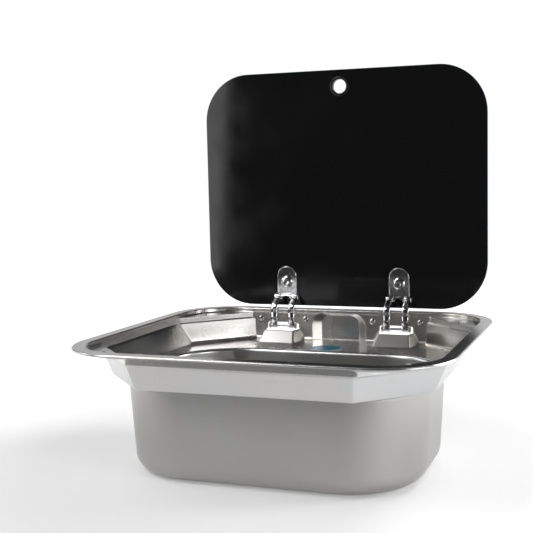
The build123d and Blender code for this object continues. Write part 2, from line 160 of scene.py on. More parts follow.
@dataclass(frozen=True)
class Relief:
    """Bumps that follow a noise pattern, with their height in metres."""

    noise: Noise
    strength: float
    height: float


@dataclass
class Graph:
    """Small helper that adds and links the nodes of one material or world."""

    tree: bpy.types.NodeTree
    place: int = 0
    spacing: int = 200

    def add(self, kind: NodeKind, **values: object) -> bpy.types.Node:
        """Add a node and set its plain properties.

        Args:
            kind: which node to add.
            values: attributes of the node to set.

        Returns:
            The new node.
        """
        node = self.tree.nodes.new(kind.value)
        node.location = (self.spacing * self.place, 0)
        self.place += 1
        for name, value in values.items():
            setattr(node, name, value)
        return node

    def link(self, source: Socket, target: Socket) -> None:
        """Join an output to an input."""
        self.tree.links.new(source, target)

    def along(self, space: Space, axis: Axis) -> Socket:
        """Read one part of the coordinates.

        Args:
            space: which coordinates to read.
            axis: which part of them.

        Returns:
            The part's value.
        """
        coordinates = self.add(NodeKind.COORDINATES)
        parts = self.add(NodeKind.SEPARATE)
        self.link(coordinates.outputs[space.value], parts.inputs["Vector"])
        return parts.outputs[axis.value]

    def away_from(self, middle: Point) -> Socket:
        """Distance from a point of the object.

        Args:
            middle: the point, in metres.

        Returns:
            The distance in metres.
        """
        coordinates = self.add(NodeKind.COORDINATES)
        away = self.add(NodeKind.VECTOR_MATH, operation="DISTANCE")
        self.link(coordinates.outputs[Space.OBJECT.value], away.inputs[0])
        away.inputs[1].default_value = middle
        return away.outputs["Value"]

    def grain(self, noise: Noise) -> Socket:
        """Read a noise pattern.

        Args:
            noise: the pattern.

        Returns:
            The noise value, about 0.5 on average.
        """
        coordinates = self.add(NodeKind.COORDINATES)
        mapping = self.add(NodeKind.MAPPING)
        mapping.inputs["Scale"].default_value = noise.stretch
        texture = self.add(NodeKind.NOISE)
        texture.inputs["Scale"].default_value = noise.scale
        texture.inputs["Detail"].default_value = noise.detail
        self.link(coordinates.outputs[Space.OBJECT.value], mapping.inputs["Vector"])
        self.link(mapping.outputs["Vector"], texture.inputs["Vector"])
        return texture.outputs["Fac"]

    def ranged(self, value: Socket, result: Span, source: Span = MIDDLE) -> Socket:
        """Turn a value into a range of numbers.

        Args:
            value: the socket to read.
            result: numbers at the start and the end of the source range.
            source: values that the range starts and ends at.

        Returns:
            The mapped value.
        """
        node = self.add(NodeKind.RANGE)
        node.inputs["From Min"].default_value, node.inputs["From Max"].default_value = source
        node.inputs["To Min"].default_value, node.inputs["To Max"].default_value = result
        self.link(value, node.inputs["Value"])
        return node.outputs["Result"]

    def combine(self, operation: str, first: Socket, second: Socket | None = None) -> Socket:
        """Work out one number from one or two others.

        Args:
            operation: the Math node's operation.
            first: the first value.
            second: the second value, where the operation has one.

        Returns:
            The result.
        """
        node = self.add(NodeKind.MATH, operation=operation)
        self.link(first, node.inputs[0])
        if second is not None:
            self.link(second, node.inputs[1])
        return node.outputs["Value"]

    def blend(self, share: Socket, first: Colour | Socket, second: Colour | Socket) -> Socket:
        """Blend two colours by a share from 0 to 1.

        Args:
            share: socket that gives the share of the second colour.
            first: colour at 0, or a socket that gives it.
            second: colour at 1, or a socket that gives it.

        Returns:
            The blended colour.
        """
        node = self.add(NodeKind.MIX, data_type="RGBA")
        for place, colour in zip(MIX_COLOURS, (first, second)):
            if isinstance(colour, Socket):
                self.link(colour, node.inputs[place])
            else:
                node.inputs[place].default_value = rgba(colour)
        self.link(share, node.inputs[MIX_SHARE])
        return node.outputs[MIX_RESULT]

    def bump(self, relief: Relief, normal: Socket | None = None) -> Socket:
        """Turn a relief into a bumped normal.

        Args:
            relief: the bumps.
            normal: an earlier normal to build on.

        Returns:
            The bumped normal.
        """
        height = self.grain(relief.noise)
        node = self.add(NodeKind.BUMP)
        node.inputs["Strength"].default_value = relief.strength
        node.inputs["Distance"].default_value = relief.height
        self.link(height, node.inputs["Height"])
        if normal is not None:
            self.link(normal, node.inputs["Normal"])
        return node.outputs["Normal"]

    def soft_edges(self, radius: float, samples: int) -> Socket:
        """Make a normal that runs softly over bends and edges.

        Args:
            radius: how far the softness reaches, in metres.
            samples: rays for each hit.

        Returns:
            The softened normal.
        """
        node = self.add(NodeKind.BEVEL, samples=samples)
        node.inputs["Radius"].default_value = radius
        return node.outputs["Normal"]

    def direct_view(self) -> Socket:
        """Tell what is seen directly, in a mirror or through glass from light that spreads.

        Returns:
            One for the camera, for mirrors and for glass, and zero for the rest.
        """
        path = self.add(NodeKind.LIGHT_PATH)
        share = path.outputs["Is Camera Ray"]
        for other in ("Is Glossy Ray", "Is Transmission Ray"):
            share = self.combine("MAXIMUM", share, path.outputs[other])
        return share


def new_surface(name: str) -> tuple[bpy.types.Material, Graph, bpy.types.Node]:
    """Make an empty material with a principled shader.

    Args:
        name: name of the material.

    Returns:
        The material, its graph and its shader node.
    """
    material = bpy.data.materials.new(name)
    material.use_nodes = True
    material.node_tree.nodes.clear()
    graph = Graph(material.node_tree)
    shader = graph.add(NodeKind.PRINCIPLED)
    output = graph.add(NodeKind.OUTPUT)
    graph.link(shader.outputs["BSDF"], output.inputs["Surface"])
    return material, graph, shader


# ---- finishes ----
@dataclass(frozen=True)
class SatinSteel:
    """Satin stainless sheet: cloudy rubbing, slightly warm and cool patches, scuffs and a fine grain.

    The bowl below the deck is drawn deep, so it is rougher than the rest, and its colour is darkened there as
    painted shade.
    """

    name: str = "satin_steel"
    cool: Colour = (0.60, 0.605, 0.61)
    warm: Colour = (0.63, 0.605, 0.575)
    scuff: Colour = (0.40, 0.39, 0.38)
    # painted shade: the darker colour, and its share, that the bowl below the deck is darkened towards, standing in
    # for the dim floor that the bowl mirrors
    lower_bowl_shade_and_rough: Colour = (0.38, 0.375, 0.37)
    bowl_shade_share: float = 0.85
    drawn_rough: float = 0.09
    drawn_top: float = 0.103
    drawn_fade: float = 4 * MM
    roughness: Span = (0.21, 0.30)
    rubbed: Span = (0.3, 0.7)
    clouds: Noise = Noise(7.0, stretch=(1.0, 1.0, 1.6))
    scuffs: Noise = Noise(42.0, 5.0, (1.0, 1.0, 2.2))
    scuffed: Span = (0.66, 0.78)
    scuff_share: float = 0.5
    grain: Relief = Relief(Noise(1500.0, stretch=(0.25, 0.25, 1.0)), 0.02, 0.01 * MM)
    bend: float = 1.6 * MM
    bend_samples: int = 6

    def make(self) -> bpy.types.Material:
        """Build the material.

        Returns:
            The finished material.
        """
        material, graph, shader = new_surface(self.name)
        clouds = graph.grain(self.clouds)
        tint = graph.blend(graph.ranged(clouds, FULL), self.cool, self.warm)
        height = graph.along(Space.OBJECT, Axis.Z)
        fade = (self.drawn_top - self.drawn_fade, self.drawn_top)
        # painted shade: below the deck the tint is darkened towards the bowl's shade colour
        tint_with_bowl_shade = graph.blend(graph.ranged(height, (self.bowl_shade_share, 0.0), fade), tint, self.lower_bowl_shade_and_rough)
        worn = graph.ranged(graph.grain(self.scuffs), (0.0, self.scuff_share), self.scuffed)
        graph.link(graph.blend(worn, tint_with_bowl_shade, self.scuff), shader.inputs["Base Color"])
        sheet = graph.ranged(clouds, self.roughness, self.rubbed)
        lower_bowl_shade_and_rough = graph.ranged(height, (self.drawn_rough, 0.0), fade)
        graph.link(graph.combine("ADD", sheet, lower_bowl_shade_and_rough), shader.inputs["Roughness"])
        bends = graph.soft_edges(self.bend, self.bend_samples)
        graph.link(graph.bump(self.grain, bends), shader.inputs["Normal"])
        shader.inputs["Metallic"].default_value = 1.0
        return material


@dataclass(frozen=True)
class BrightSteel:
    """Polished or plated steel with faint polishing waves and rubbed spots."""

    name: str
    colour: Colour = (0.72, 0.72, 0.73)
    shade: Colour = (0.60, 0.60, 0.62)
    roughness: Span = (0.05, 0.13)
    spots: Noise = Noise(110.0, 3.0)
    waves: Relief = Relief(Noise(160.0, 1.0), 0.05, 0.3 * MM)
    edge: float = 0.5 * MM
    edge_samples: int = 4

    def make(self) -> bpy.types.Material:
        """Build the material.

        Returns:
            The finished material.
        """
        material, graph, shader = new_surface(self.name)
        spots = graph.grain(self.spots)
        tint = graph.blend(graph.ranged(spots, FULL), self.colour, self.shade)
        graph.link(tint, shader.inputs["Base Color"])
        graph.link(graph.ranged(spots, self.roughness), shader.inputs["Roughness"])
        edges = graph.soft_edges(self.edge, self.edge_samples)
        graph.link(graph.bump(self.waves, edges), shader.inputs["Normal"])
        shader.inputs["Metallic"].default_value = 1.0
        return material


@dataclass(frozen=True)
class BlackGlass:
    """Glossy black tempered glass, with a cold tint where its ground edge shows."""

    name: str = "black_glass"
    face: Colour = (0.0062, 0.0064, 0.0068)
    edge: Colour = (0.006, 0.030, 0.055)
    edge_lean: Span = (0.75, 0.95)
    roughness: Span = (0.05, 0.14)
    film: Noise = Noise(14.0, 4.0)
    ripple: Relief = Relief(Noise(7.0, 1.0), 0.01, 1.0 * MM)
    ior: float = 1.5
    gloss: float = 0.35

    def make(self) -> bpy.types.Material:
        """Build the material.

        Returns:
            The finished material.
        """
        material, graph, shader = new_surface(self.name)
        facing = graph.combine("ABSOLUTE", graph.along(Space.NORMAL, Axis.Y))
        on_edge = graph.ranged(facing, FALLING, self.edge_lean)
        graph.link(graph.blend(on_edge, self.face, self.edge), shader.inputs["Base Color"])
        graph.link(graph.ranged(graph.grain(self.film), self.roughness), shader.inputs["Roughness"])
        graph.link(graph.bump(self.ripple), shader.inputs["Normal"])
        shader.inputs["IOR"].default_value = self.ior
        shader.inputs["Specular IOR Level"].default_value = self.gloss
        return material


@dataclass(frozen=True)
class SoftPlastic:
    """Rubber or plastic with a fine moulded grain."""

    name: str
    colour: Colour
    shade: Colour
    roughness: float = 0.55
    roughness_spread: float = 0.15
    spots: Noise = Noise(220.0, 3.0)
    moulded: Relief = Relief(Noise(900.0), 0.12, 0.08 * MM)

    def make(self) -> bpy.types.Material:
        """Build the material.

        Returns:
            The finished material.
        """
        material, graph, shader = new_surface(self.name)
        spots = graph.grain(self.spots)
        tint = graph.blend(graph.ranged(spots, FULL), self.colour, self.shade)
        graph.link(tint, shader.inputs["Base Color"])
        spread = self.roughness_spread
        rubbed = graph.ranged(spots, ((1 - spread) * self.roughness, (1 + spread) * self.roughness))
        graph.link(rubbed, shader.inputs["Roughness"])
        graph.link(graph.bump(self.moulded), shader.inputs["Normal"])
        return material


@dataclass(frozen=True)
class FilmDisc:
    """Teal film on the cover disc, paler at its rim and with faint streaks."""

    name: str = "cover_film"
    colour: Colour = (0.004, 0.125, 0.205)
    streak: Colour = (0.008, 0.085, 0.130)
    rim: Colour = (0.33, 0.42, 0.46)
    middle: Point = (0.0, 0.139, 0.1045)
    rim_reach: Span = (18.2 * MM, 19.2 * MM)
    streaks: Noise = Noise(60.0, 3.0, (1.0, 3.0, 1.0))
    streaked: Span = (0.42, 0.72)
    roughness: Span = (0.30, 0.44)
    gloss: float = 0.25
    creases: Relief = Relief(Noise(90.0), 0.15, 0.2 * MM)

    def make(self) -> bpy.types.Material:
        """Build the material.

        Returns:
            The finished material.
        """
        material, graph, shader = new_surface(self.name)
        streaks = graph.grain(self.streaks)
        film = graph.blend(graph.ranged(streaks, FULL, self.streaked), self.colour, self.streak)
        at_rim = graph.ranged(graph.away_from(self.middle), FULL, self.rim_reach)
        graph.link(graph.blend(at_rim, film, self.rim), shader.inputs["Base Color"])
        graph.link(graph.ranged(streaks, self.roughness), shader.inputs["Roughness"])
        shader.inputs["Specular IOR Level"].default_value = self.gloss
        graph.link(graph.bump(self.creases), shader.inputs["Normal"])
        return material


class Finish(Enum):
    """Every finish of the object, named by the material slot that it stands for."""

    STEEL = "steel"
    CHROME = "hinge_chrome"
    PIN = "pin_steel"
    RIVET = "rivet_steel"
    BRACKET = "bracket_steel"
    GLASS = "black_glass"
    RING = "grommet_plastic"
    GASKET = "gasket_rubber"
    BUMPER = "bumper_rubber"
    DISC = "cover_disc"


FINISH_RECIPES = {
    Finish.STEEL: SatinSteel(),
    Finish.CHROME: BrightSteel("bright_chrome"),
    Finish.PIN: BrightSteel("ground_pin", (0.62, 0.62, 0.63), (0.50, 0.50, 0.52), (0.14, 0.26)),
    Finish.RIVET: BrightSteel("plain_rivet", (0.66, 0.65, 0.63), (0.50, 0.50, 0.50), (0.12, 0.22)),
    Finish.BRACKET: BrightSteel("mill_bracket", (0.58, 0.58, 0.58), (0.46, 0.46, 0.47), (0.24, 0.38)),
    Finish.GLASS: BlackGlass(),
    Finish.RING: SoftPlastic("ring_plastic", (0.006, 0.006, 0.007), (0.011, 0.011, 0.012), 0.26),
    Finish.GASKET: SoftPlastic("gasket", (0.012, 0.012, 0.012), (0.020, 0.020, 0.020), 0.60),
    Finish.BUMPER: SoftPlastic("bumper", (0.46, 0.46, 0.45), (0.36, 0.36, 0.36), 0.42),
    Finish.DISC: FilmDisc(),
}


class Paint:
    """All materials, made once and handed out by finish."""

    def __init__(self) -> None:
        """Build every material."""
        self.materials = {finish: recipe.make() for finish, recipe in FINISH_RECIPES.items()}

    def node(self, packed: bpy.types.Object, finish: Finish) -> None:
        """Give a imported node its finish.

        Args:
            packed: the node's mesh object.
            finish: what it is finished in.
        """
        packed.data.materials.clear()
        packed.data.materials.append(self.materials[finish])
        LOG.info("%s: packed node, %s", packed.name, finish.value)


# ---- mesh building ----
@dataclass
class Shape:
    """Vertices and faces of one piece, in millimetres until it is finished."""

    points: list[Point] = field(default_factory=list)
    faces: list[tuple[int, ...]] = field(default_factory=list)

    def ring(self, points: Sequence[Point]) -> list[int]:
        """Add a ring of points.

        Args:
            points: places of the ring's points in order.

        Returns:
            Their numbers.
        """
        start = len(self.points)
        self.points.extend(points)
        return list(range(start, start + len(points)))

    def bridge(self, first: Sequence[int], second: Sequence[int]) -> None:
        """Join two rings of the same count with a band of quads.

        Args:
            first: numbers of one ring.
            second: numbers of the other.
        """
        count = len(first)
        for index in range(count):
            after = (index + 1) % count
            self.faces.append((first[index], first[after], second[after], second[index]))

    def cap(self, ring: Sequence[int], flip: bool = False) -> None:
        """Close a ring of numbered points with one face, turned round where flip is set."""
        self.faces.append(tuple(reversed(ring)) if flip else tuple(ring))

    def skin(self, rings: Sequence[Sequence[Point]], closed: bool = False) -> None:
        """Cover a row of rings.

        Args:
            rings: the rings' points in order.
            closed: join the last ring to the first, or else close both ends.
        """
        numbers = [self.ring(points) for points in rings]
        for first, second in zip(numbers, numbers[1:]):
            self.bridge(first, second)
        if closed:
            self.bridge(numbers[-1], numbers[0])
        else:
            self.cap(numbers[0], flip=True)
            self.cap(numbers[-1])

    def lathe(self, profile: Sequence[Span], place: Placer, segments: int) -> None:
        """Turn a closed profile of (radius, along) points about the placer's axis in equal segments."""
        turns = round_turns(segments)
        self.skin([[place(radius, along, turn) for turn in turns] for radius, along in profile], closed=True)

    def finish(self, name: str, body: Body, finish: Finish, paint: Paint, nodes: Sequence[str] = ()) -> None:
        """Make the object, smooth it and hang it on its body.

        Args:
            name: name of the piece.
            body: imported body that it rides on.
            finish: its finish.
            paint: the materials.
            nodes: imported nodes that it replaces.
        """
        mesh = bpy.data.meshes.new(name)
        mesh.from_pydata([tuple(MM * value for value in point) for point in self.points], [], self.faces)
        mesh.validate()
        mesh.materials.append(paint.materials[finish])
        piece = bpy.data.objects.new(name, mesh)
        bpy.context.scene.collection.objects.link(piece)
        mesh.shade_smooth()
        mesh.set_sharp_from_angle(angle=SHARP_ANGLE)
        if nodes:
            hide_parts(*nodes)
        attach(piece, body.value)
        LOG.info("%s: %d faces, %s", name, len(mesh.polygons), finish.value)


def round_turns(segments: int) -> list[float]:
    """List the angles of a full turn in equal steps."""
    return [WHOLE_TURN * step / segments for step in range(segments)]


def about_x(y: float, z: float) -> Placer:
    """Placer for a lathe whose axis runs along X through (y, z)."""
    return lambda radius, along, turn: (along, y + radius * math.cos(turn), z + radius * math.sin(turn))


def about_y(x: float, z: float) -> Placer:
    """Placer for a lathe whose axis runs along Y through (x, z)."""
    return lambda radius, along, turn: (x + radius * math.cos(turn), along, z - radius * math.sin(turn))


def about_z(x: float, y: float) -> Placer:
    """Placer for a lathe whose axis runs along Z through (x, y)."""
    return lambda radius, along, turn: (x + radius * math.cos(turn), y + radius * math.sin(turn), along)


def rounded(profile: Sequence[Span], radius: float, steps: int = 3, most: float = 0.45) -> list[Span]:
    """Round every corner of a closed profile.

    Args:
        profile: corners in order.
        radius: how far along each side a rounding starts.
        steps: points on each rounding less one.
        most: largest share of a side that one rounding takes.

    Returns:
        The rounded profile.
    """
    result = []
    count = len(profile)
    for index in range(count):
        here = Vector(profile[index])
        before = Vector(profile[index - 1]) - here
        after = Vector(profile[(index + 1) % count]) - here
        start = here + before.normalized() * min(radius, most * before.length)
        end = here + after.normalized() * min(radius, most * after.length)
        for share in steps_between(0.0, 1.0, steps):
            spot = start.lerp(here, share).lerp(here.lerp(end, share), share)
            result.append((spot.x, spot.y))
    return result


def powered(value: float, power: float) -> float:
    """Raise the size of a value to a power and keep its sign."""
    return math.copysign(abs(value) ** power, value)


# ---- the sink's own pieces ----
@dataclass
class Bumper:
    """One soft stud on a corner ledge."""

    node: str
    x: float
    y: float
    foot: float = 139.0
    radius: float = 3.0
    height: float = 2.7
    straight: float = 0.9
    dome: float = 1.8
    dome_turns: tuple[float, ...] = (0.15, 0.45, 0.75, 1.05, 1.3, 1.5)
    segments: int = 32

    def build(self, paint: Paint) -> None:
        """Make the stud with a domed top.

        Args:
            paint: the materials.
        """
        top = self.foot + self.height
        profile = [(CORE, self.foot), (self.radius, self.foot), (self.radius, self.foot + self.straight)]
        for turn in self.dome_turns:
            profile.append((self.radius * math.cos(turn), top - self.dome + self.dome * math.sin(turn)))
        profile.append((CORE, top))
        stud = Shape()
        stud.lathe(profile, about_z(self.x, self.y), self.segments)
        stud.finish(self.node + "_stud", Body.SINK, Finish.BUMPER, paint, (self.node,))


@dataclass
class Rivets:
    """The four hollow rivets that hold the brackets."""

    wall: float = 194.0
    height: float = 131.3
    reach: float = 31.7
    head_radius: float = 4.0
    head: float = 1.4
    dome_steps: int = 7
    lip: float = 0.35
    bore: float = 1.1
    bore_depth: float = 2.6
    bore_cone: float = 0.5
    bore_foot: float = 0.8
    mouth: tuple[Span, ...] = ((0.0, 0.35), (0.12, 0.1))
    shank: float = 2.05
    tail_y: float = 196.3
    tail_radius: float = 2.8
    tail: float = 1.3
    tail_edge: float = 0.4
    segments: int = 40

    def profile(self) -> list[Span]:
        """Work out the closed profile of one rivet.

        Returns:
            (radius, y) points from the bottom of the bore over the head to the tail.
        """
        face = self.wall - self.head
        inside = face + self.bore_depth
        points = [(CORE, inside), (self.bore_foot * self.bore, inside), (self.bore, inside - self.bore_cone)]
        points += [(self.bore + widening, face + depth) for widening, depth in self.mouth]
        crown = self.bore + self.lip
        for turn in steps_between(0.0, math.pi / 2, self.dome_steps):
            radius = crown + (self.head_radius - crown) * math.sin(turn)
            points.append((radius, self.wall - self.head * math.cos(turn)))
        end = self.tail_y + self.tail
        points += [(self.shank, self.wall), (self.shank, self.tail_y), (self.tail_radius, self.tail_y)]
        points += [(self.tail_radius, end - self.tail_edge), (self.tail_radius - self.tail_edge, end), (CORE, end)]
        return points

    def build(self, paint: Paint) -> None:
        """Make all four rivets as one piece.

        Args:
            paint: the materials.
        """
        rivets = Shape()
        for side in Side:
            for x in (side.value - self.reach, side.value + self.reach):
                rivets.lathe(self.profile(), about_y(x, self.height), self.segments)
        rivets.finish("domed_rivets", Body.SINK, Finish.RIVET, paint, ("hinge_rivets",))


@dataclass
class SteelBowl:
    """The pressed sink with its cover disc, bumpers and the hinge parts fixed to it."""

    nodes: dict[str, bpy.types.Object]
    rear_bumper: Span = (172.5, 149.5)
    front_bumper: Span = (166.0, -113.0)

    def build(self, paint: Paint) -> None:
        """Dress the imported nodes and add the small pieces.

        Args:
            paint: the materials.
        """
        paint.node(self.nodes["sink_body"], Finish.STEEL)
        paint.node(self.nodes["tap_hole_cover"], Finish.DISC)
        for side in Side:
            paint.node(self.nodes[f"hinge_bracket_{side.label}"], Finish.BRACKET)
            paint.node(self.nodes[f"pivot_pin_{side.label}"], Finish.PIN)
            for end, (x, y) in (("rear", self.rear_bumper), ("front", self.front_bumper)):
                Bumper(f"bumper_{end}_{side.label}", side.sign * x, y).build(paint)
        Rivets().build(paint)
        LOG.info("sink dressed")


# ---- hinge arms ----
@dataclass
class HingeArm:
    """One bent flat arm with a rounded face, a hub on the pivot pin and an eye on the knuckle pin.

    The hub and the eye are (y, z, radius). The bulge is the swell of the arm's front below its bend. The
    powers square up the oval section: a smaller power gives a squarer side.
    """

    node: str
    x: float
    width: float = 9.5
    eye_width: float = 8.2
    narrowing_start: float = 0.4
    thick: float = 2.8
    side_power: float = 0.55
    face_power: float = 0.85
    y: float = 192.0
    foot: float = 120.5
    bend: float = 149.5
    bend_radius: float = 9.0
    straight_steps: int = 16
    bend_steps: int = 12
    bulge: float = 1.3
    bulge_z: float = 132.5
    bulge_reach: float = 8.0
    hub: Point = (194.25, 122.25, 3.8)
    eye: Point = (209.4, 159.5, 3.7)
    barrel_edge: float = 0.9
    barrel_segments: int = 36
    section_points: int = 28

    def line(self) -> list[tuple[float, float, float, float]]:
        """Work out the middle line from the hub to the eye.

        Returns:
            (y, z, lean, share) at each step, with the lean from upright in radians and the share of the way.
        """
        slope = math.atan2(self.eye[0] - self.y, self.eye[1] - self.bend)
        run = self.bend_radius * math.tan(slope / 2)
        corner = self.bend - run
        spots = [(self.y, z, 0.0) for z in steps_between(self.foot, corner, self.straight_steps)]
        middle = self.y + self.bend_radius
        for turn in steps_between(0.0, slope, self.bend_steps)[1:]:
            rise = corner + self.bend_radius * math.sin(turn)
            spots.append((middle - self.bend_radius * math.cos(turn), rise, turn))
        spots.append((*self.eye[:2], slope))
        lengths = [0.0]
        for first, second in zip(spots, spots[1:]):
            lengths.append(lengths[-1] + math.hypot(second[0] - first[0], second[1] - first[1]))
        return [(*spot, length / lengths[-1]) for spot, length in zip(spots, lengths)]

    def section(self, y: float, z: float, lean: float, share: float) -> list[Point]:
        """Work out the rounded section of the arm across its middle line.

        Args:
            y: place of the middle line.
            z: height of the middle line.
            lean: lean of the line from upright, in radians.
            share: share of the way from the hub to the eye.

        Returns:
            The points of the section in order.
        """
        narrowing = max(0.0, (share - self.narrowing_start) / (1 - self.narrowing_start))
        width = self.width + (self.eye_width - self.width) * narrowing
        swell = self.bulge * max(0.0, 1 - ((z - self.bulge_z) / self.bulge_reach) ** 2) ** 2
        points = []
        for turn in round_turns(self.section_points):
            across = powered(math.cos(turn), self.side_power) * width / 2
            out = powered(math.sin(turn), self.face_power) * self.thick / 2
            if out < 0:
                out *= 1 + swell / (self.thick / 2)
            points.append((self.x + across, y + out * math.cos(lean), z - out * math.sin(lean)))
        return points

    def build(self, paint: Paint) -> None:
        """Make the arm with its hub and its eye.

        Args:
            paint: the materials.
        """
        arm = Shape()
        arm.skin([self.section(*spot) for spot in self.line()])
        half = self.width / 2
        for y, z, radius in (self.hub, self.eye):
            barrel = [(CORE, -half), (radius, -half), (radius, half), (CORE, half)]
            outline = [(reach, self.x + along) for reach, along in rounded(barrel, self.barrel_edge)]
            arm.lathe(outline, about_x(y, z), self.barrel_segments)
        arm.finish(self.node + "_bar", Body.LID, Finish.CHROME, paint, (self.node,))


# ---- clamps ----
@dataclass
class PlateRim:
    """Half-round border on the front of one clamp plate."""

    side: Side
    half: float = 13.8
    inset: float = 0.7
    foot: float = 163.9
    foot_run: float = 8.0
    shoulder: float = 186.7
    shoulder_run: float = 4.0
    arch_steps: int = 32
    y: float = 211.35
    radius: float = 0.6
    section_points: int = 12

    def line(self) -> list[Point]:
        """Work out the middle line round the plate.

        Returns:
            (x, z, heading) at each step, with the heading in radians.
        """
        x = self.side.value
        reach = self.half - self.inset
        leg = (self.foot, self.foot + self.foot_run, self.shoulder - self.shoulder_run)
        spots = [(x - reach, z, math.pi / 2) for z in leg]
        for turn in steps_between(math.pi, 0.0, self.arch_steps):
            spots.append((x + reach * math.cos(turn), self.shoulder + reach * math.sin(turn), turn - math.pi / 2))
        spots += [(x + reach, z, -math.pi / 2) for z in reversed(leg)]
        return spots

    def section(self, x: float, z: float, heading: float) -> list[Point]:
        """Work out the round section of the border.

        Args:
            x: place of the middle line.
            z: height of the middle line.
            heading: direction of the line, in radians.

        Returns:
            The points of the section in order.
        """
        points = []
        for turn in round_turns(self.section_points):
            side = self.radius * math.cos(turn)
            out = self.radius * math.sin(turn)
            points.append((x - side * math.sin(heading), self.y + out, z + side * math.cos(heading)))
        return points

    def build(self, paint: Paint) -> None:
        """Sweep the border's section along its line.

        Args:
            paint: the materials.
        """
        border = Shape()
        border.skin([self.section(*spot) for spot in self.line()])
        border.finish(f"clamp_border_{self.side.label}", Body.LID, Finish.CHROME, paint)


@dataclass
class ClampScrew:
    """Button-head screw with a six-sided socket."""

    side: Side
    z: float = 179.5
    seat: float = 211.2
    head_radius: float = 8.0
    head: float = 2.8
    head_edge: float = 0.5
    crown_turns: tuple[float, ...] = (0.25, 0.5, 0.75, 1.0, 1.2, 1.4, math.pi / 2)
    socket: float = 2.9
    socket_depth: float = 1.6
    socket_cone: float = 0.5
    socket_middle: float = 0.1
    lip_depth: float = 0.15
    lip: float = 0.3
    lip_sides: float = 0.8
    land: float = 0.9
    shank: float = 3.0
    shank_edge: float = 0.5
    tip: float = 221.0
    segments: int = 72

    def spot(self, radius: float, y: float, turn: float, sides: float) -> Point:
        """Place a point on a ring that is a circle, a hexagon or a mix of both.

        Args:
            radius: reach of the circle and of the hexagon's corners.
            y: place along the screw.
            turn: angle about the screw, in radians.
            sides: 0 for a circle and 1 for a hexagon.

        Returns:
            The point.
        """
        sixth = math.pi / 6
        sector = (turn + sixth) % (2 * sixth) - sixth
        flat = math.cos(sixth) / math.cos(sector + (sixth if sector < 0 else -sixth))
        reach = radius * (1 - sides + sides * flat)
        return (self.side.value + reach * math.cos(turn), y, self.z - reach * math.sin(turn))

    def rows(self) -> list[Point]:
        """List the screw's rings from the socket's bottom over the head to the tip.

        Returns:
            (radius, y, sides) of each ring.
        """
        face = self.seat - self.head
        bottom = face + self.socket_depth
        brim = self.socket + self.land
        rows = [(self.socket_middle, bottom + self.socket_cone, 1.0), (self.socket, bottom, 1.0)]
        rows += [(self.socket, face + self.lip_depth, 1.0), (self.socket + self.lip, face, self.lip_sides)]
        rows.append((brim, face, 0.0))
        for turn in self.crown_turns:
            reach = brim + (self.head_radius - brim) * math.sin(turn)
            rows.append((reach, face + (self.head - self.head_edge) * (1 - math.cos(turn)), 0.0))
        rows += [(self.head_radius, self.seat, 0.0), (self.shank, self.seat, 0.0)]
        rows += [(self.shank, self.tip - self.shank_edge, 0.0), (self.shank - self.shank_edge, self.tip, 0.0)]
        return rows

    def build(self, paint: Paint) -> None:
        """Make the head, its socket and the shank.

        Args:
            paint: the materials.
        """
        turns = round_turns(self.segments)
        screw = Shape()
        screw.skin([[self.spot(radius, y, turn, sides) for turn in turns] for radius, y, sides in self.rows()])
        node = f"clamp_screw_{self.side.label}"
        screw.finish(node + "_button", Body.LID, Finish.CHROME, paint, (node,))


@dataclass
class OuterCap:
    """Domed nut on the outside of the glass."""

    side: Side
    z: float = 179.5
    seat: float = 218.8
    radius: float = 13.0
    height: float = 3.2
    thread: float = 3.02
    thread_top: float = 1.0
    foot_edge: float = 0.3
    rim: tuple[Span, ...] = ((0.0, 0.8), (0.35, 1.5))
    dome: float = 1.4
    dome_power: int = 4
    dome_shares: tuple[float, ...] = (0.92, 0.8, 0.65, 0.5, 0.3, 0.15)
    segments: int = 72

    def build(self, paint: Paint) -> None:
        """Turn the cap's shallow dome.

        Args:
            paint: the materials.
        """
        crown = self.seat + self.height
        profile = [(self.thread, self.seat), (self.radius - self.foot_edge, self.seat)]
        profile.append((self.radius, self.seat + self.foot_edge))
        profile += [(self.radius - inset, self.seat + rise) for inset, rise in self.rim]
        profile += [(share * self.radius, crown - self.dome * share**self.dome_power) for share in self.dome_shares]
        profile += [(CORE, crown), (CORE, crown - self.thread_top), (self.thread, crown - self.thread_top)]
        cap = Shape()
        cap.lathe(profile, about_y(self.side.value, self.z), self.segments)
        node = f"outer_cap_{self.side.label}"
        cap.finish(node + "_dome", Body.LID, Finish.CHROME, paint, (node,))


@dataclass
class FingerRing:
    """Soft black ring in the finger hole."""

    z: float = 437.8
    bore: float = 9.2
    hole: float = 11.0
    radius: float = 13.0
    front: float = 212.8
    glass: Span = (214.0, 218.0)
    back: float = 219.2
    edge: float = 0.55
    segments: int = 96

    def build(self, paint: Paint) -> None:
        """Turn the ring's rounded profile.

        Args:
            paint: the materials.
        """
        corners = [(self.bore, self.front), (self.radius, self.front), (self.radius, self.glass[0])]
        corners += [(self.hole, self.glass[0]), (self.hole, self.glass[1]), (self.radius, self.glass[1])]
        corners += [(self.radius, self.back), (self.bore, self.back)]
        ring = Shape()
        ring.lathe(rounded(corners, self.edge), about_y(0.0, self.z), self.segments)
        ring.finish("finger_ring", Body.LID, Finish.RING, paint, ("finger_grommet",))


